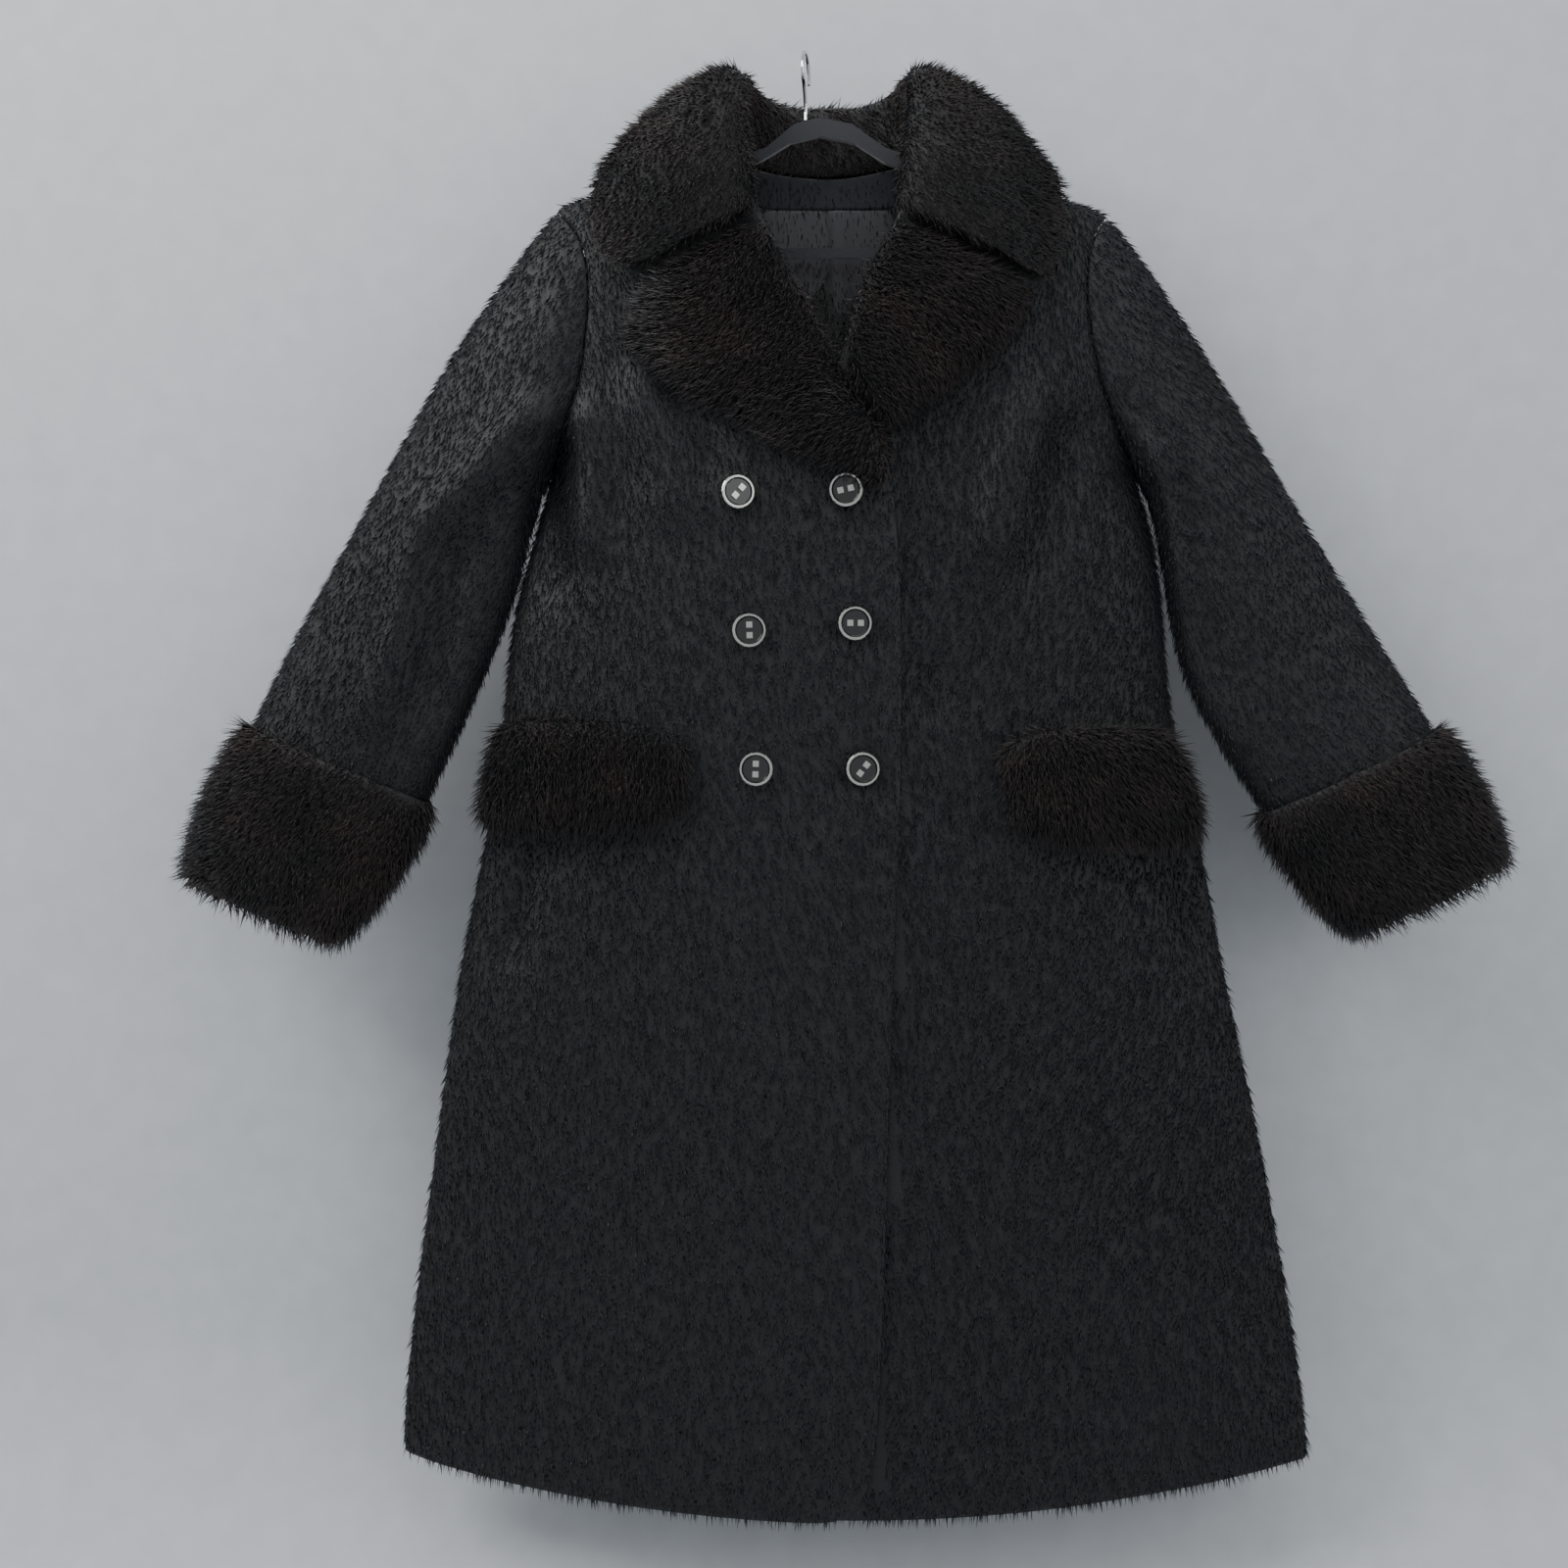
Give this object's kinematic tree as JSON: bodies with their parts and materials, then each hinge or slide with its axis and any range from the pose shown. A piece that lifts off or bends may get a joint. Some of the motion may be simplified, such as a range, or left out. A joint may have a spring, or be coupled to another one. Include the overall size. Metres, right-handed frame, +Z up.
{
  "type": "double-breasted faux fur coat on a hanger",
  "caption": "Knee-length double-breasted faux fur coat with wide collar, lapels, pocket flaps and deep cuffs, hanging flat on a hanger.",
  "frame": {"origin": "where the hanger's hook bears on the rail that holds it", "axes": "+Z up, the coat's front faces -Y, +X towards the wearer's left"},
  "size_m": [1.0354, 0.121, 1.1448],
  "materials": {
    "fur_body": "short dense silky pile",
    "fur_trim": "longer soft pile",
    "facing": "smooth knit facing",
    "lining": "satin",
    "button_black": "polished",
    "button_silver": "bright plated",
    "hanger_flock": "velvet flocking",
    "hook_chrome": "polished"
  },
  "bodies": {
    "root": {"front_right": "fur_body", "front_left": "fur_body", "back": "fur_body", "sleeve_right": "fur_body", "sleeve_left": "fur_body", "cuff_right": "fur_trim", "cuff_left": "fur_trim", "lapel_right": "fur_trim", "lapel_left": "fur_trim", "collar": "fur_trim", "flap_right": "fur_trim", "flap_left": "fur_trim", "back_facing": "facing", "back_lining": "lining", "button_1_disc": "button_black", "button_1_rim": "button_silver", "button_1_stud_a": "button_silver", "button_1_stud_b": "button_silver", "button_2_disc": "button_black", "button_2_rim": "button_silver", "button_2_stud_a": "button_silver", "button_2_stud_b": "button_silver", "button_3_disc": "button_black", "button_3_rim": "button_silver", "button_3_stud_a": "button_silver", "button_3_stud_b": "button_silver", "button_4_disc": "button_black", "button_4_rim": "button_silver", "button_4_stud_a": "button_silver", "button_4_stud_b": "button_silver", "button_5_disc": "button_black", "button_5_rim": "button_silver", "button_5_stud_a": "button_silver", "button_5_stud_b": "button_silver", "button_6_disc": "button_black", "button_6_rim": "button_silver", "button_6_stud_a": "button_silver", "button_6_stud_b": "button_silver", "hanger_body": "hanger_flock", "hanger_bar": "hanger_flock", "hanger_hook": "hook_chrome"}
  },
  "joints": []
}
